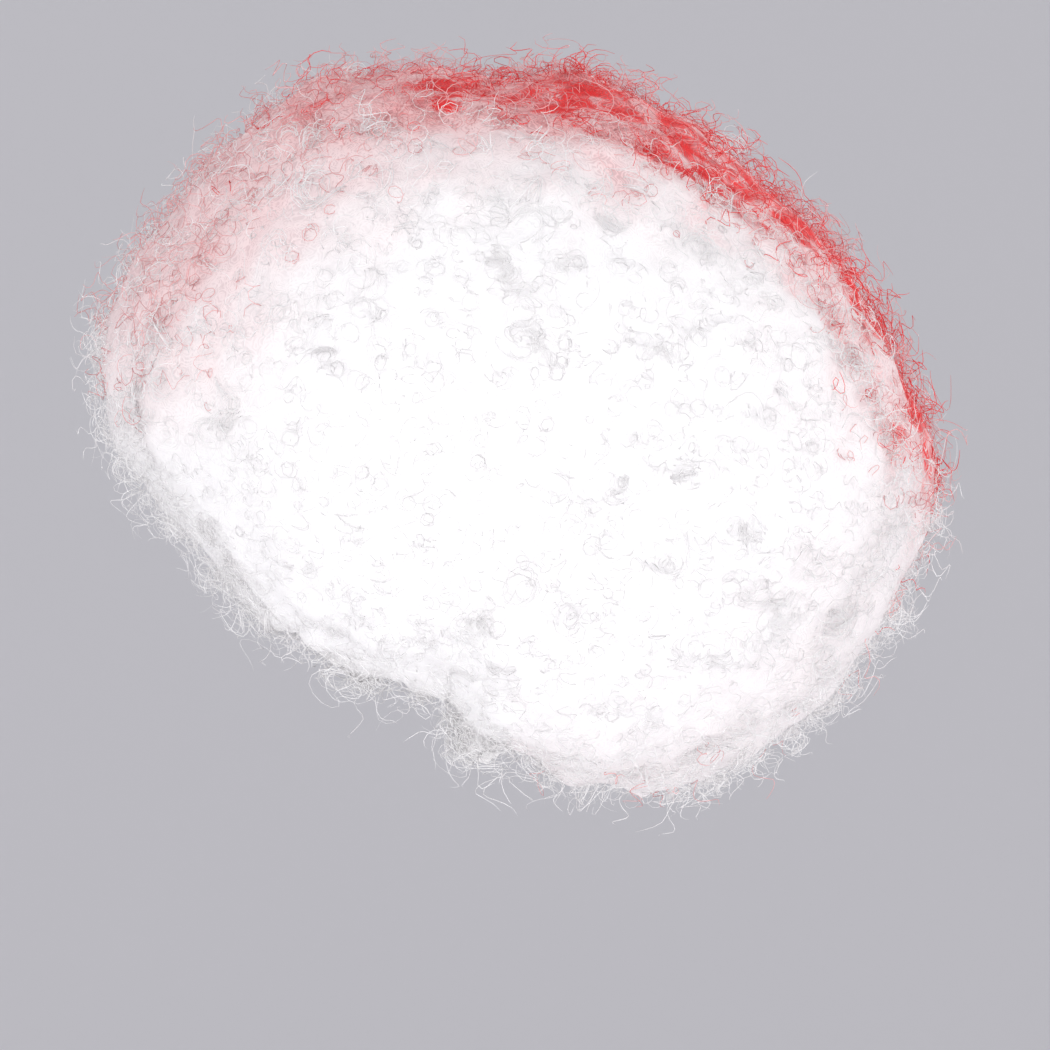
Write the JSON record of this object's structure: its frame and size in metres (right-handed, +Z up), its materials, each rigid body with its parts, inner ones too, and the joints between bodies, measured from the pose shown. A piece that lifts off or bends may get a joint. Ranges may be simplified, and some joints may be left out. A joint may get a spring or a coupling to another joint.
{
  "type": "afro wig",
  "caption": "Rounded afro wig of short curled hair, a red stripe along the midline between white sides, on a stretch cap with an elastic edge.",
  "frame": {"origin": "top of the head hollow, where the crown of the wearer's head meets the inside of the cap", "axes": "+Z up, the wearer faces along -Y, the wearer's left is +X"},
  "size_m": [0.3002, 0.3404, 0.2968],
  "materials": {
    "cap_cloth": "stretch net cloth, off-white",
    "elastic": "ribbed elastic, white",
    "white_hair": "fine curled synthetic hair, white",
    "red_hair": "fine curled synthetic hair, red"
  },
  "bodies": {
    "root": {"wig_cap": "cap_cloth", "edge_band": "elastic", "hair_left": "white_hair", "hair_centre": "red_hair", "hair_right": "white_hair"}
  },
  "joints": []
}
